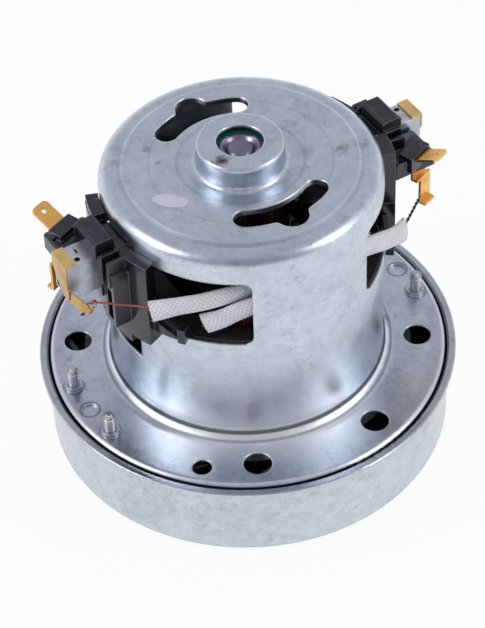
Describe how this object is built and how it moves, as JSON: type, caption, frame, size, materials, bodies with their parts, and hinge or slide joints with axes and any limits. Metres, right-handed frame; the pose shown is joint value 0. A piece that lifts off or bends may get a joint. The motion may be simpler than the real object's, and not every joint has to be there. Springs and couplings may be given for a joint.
{
  "type": "vacuum cleaner motor",
  "caption": "Universal motor in a drawn steel housing with brush holders on its sides and a round single stage suction fan case below.",
  "frame": {"origin": "centre of the fan case's flat bottom", "axes": "+Z along the shaft towards the bearing boss, X along the brush axis"},
  "size_m": [0.13, 0.13, 0.11],
  "materials": {
    "housing_steel": "galvanised sheet, satin with a faint spangle",
    "bright_steel": "ground or zinc plated steel",
    "core_steel": "varnished electrical steel laminations",
    "tube_steel": "tinned sheet",
    "black_plastic": "glossy moulded thermoset",
    "grey_plastic": "matte moulded plastic",
    "brass": "bright rolled strip",
    "enamelled_wire": "varnished copper wire",
    "copper": "bare copper",
    "resin": "moulded resin",
    "carbon": "pressed carbon",
    "rubber": "matte rubber",
    "seal": "teal seal",
    "fan_sheet": "bare sheet",
    "sleeve": "woven glass sleeve",
    "red_wire": "enamelled wire"
  },
  "bodies": {
    "motor_frame": {"motor_housing": "housing_steel", "fan_cover": "housing_steel", "bearing_bracket": "housing_steel", "diffuser": "grey_plastic", "diffuser_screws": "bright_steel", "stator_core": "core_steel", "field_coil_front": "enamelled_wire", "field_coil_rear": "enamelled_wire", "upper_bearing_outer": "bright_steel", "upper_bearing_seals": "seal", "bearing_boot": "rubber", "wave_washer": "bright_steel", "lower_bearing_outer": "bright_steel", "lower_bearing_seals": "seal", "brush_holder_left": "black_plastic", "brush_holder_right": "black_plastic", "brush_tube_left": "tube_steel", "brush_tube_right": "tube_steel", "brush_cap_left": "brass", "brush_cap_right": "brass", "brush_spring_left": "bright_steel", "brush_spring_right": "bright_steel", "brush_lead_left": "copper", "brush_lead_right": "copper", "terminal_left": "brass", "terminal_right": "brass", "lead_sleeves_front": "sleeve", "lead_sleeves_rear": "sleeve", "lead_wires_front": "red_wire", "lead_wires_rear": "red_wire"},
    "rotor": {"shaft": "bright_steel", "armature_core": "core_steel", "armature_winding": "enamelled_wire", "commutator_hub": "resin", "commutator_bars": "copper", "upper_bearing_inner": "bright_steel", "lower_bearing_inner": "bright_steel", "shaft_spacer": "bright_steel", "upper_clamp_washer": "bright_steel", "lower_clamp_washer": "bright_steel", "impeller_nut": "bright_steel", "impeller_back_plate": "fan_sheet", "impeller_blades": "fan_sheet", "impeller_shroud": "fan_sheet"},
    "upper_balls": {"upper_bearing_balls": "bright_steel"},
    "lower_balls": {"lower_bearing_balls": "bright_steel"},
    "brush_left": {"carbon_brush_left": "carbon"},
    "brush_right": {"carbon_brush_right": "carbon"}
  },
  "joints": [
    {"name": "rotor_spin", "type": "hinge", "parent": "motor_frame", "child": "rotor", "pos_m": [0, 0, 0.055], "axis": [0, 0, 1], "continuous": true},
    {"name": "upper_balls_roll", "type": "hinge", "parent": "motor_frame", "child": "upper_balls", "pos_m": [0, 0, 0.1042], "axis": [0, 0, 1], "continuous": true},
    {"name": "lower_balls_roll", "type": "hinge", "parent": "motor_frame", "child": "lower_balls", "pos_m": [0, 0, 0.0296], "axis": [0, 0, 1], "continuous": true},
    {"name": "brush_slide_left", "type": "slide", "parent": "motor_frame", "child": "brush_left", "axis": [-1, 0, 0], "range_m": [0, 0.006], "stiffness_N_per_m": 150, "springref_m": -0.02, "deforming": ["brush_spring_left", "brush_lead_left"]},
    {"name": "brush_slide_right", "type": "slide", "parent": "motor_frame", "child": "brush_right", "axis": [1, 0, 0], "range_m": [0, 0.006], "stiffness_N_per_m": 150, "springref_m": -0.02, "deforming": ["brush_spring_right", "brush_lead_right"]}
  ],
  "couplings": [
    {"joint": "upper_balls_roll", "follows": "rotor_spin", "ratio": 0.3721},
    {"joint": "lower_balls_roll", "follows": "rotor_spin", "ratio": 0.3721}
  ]
}
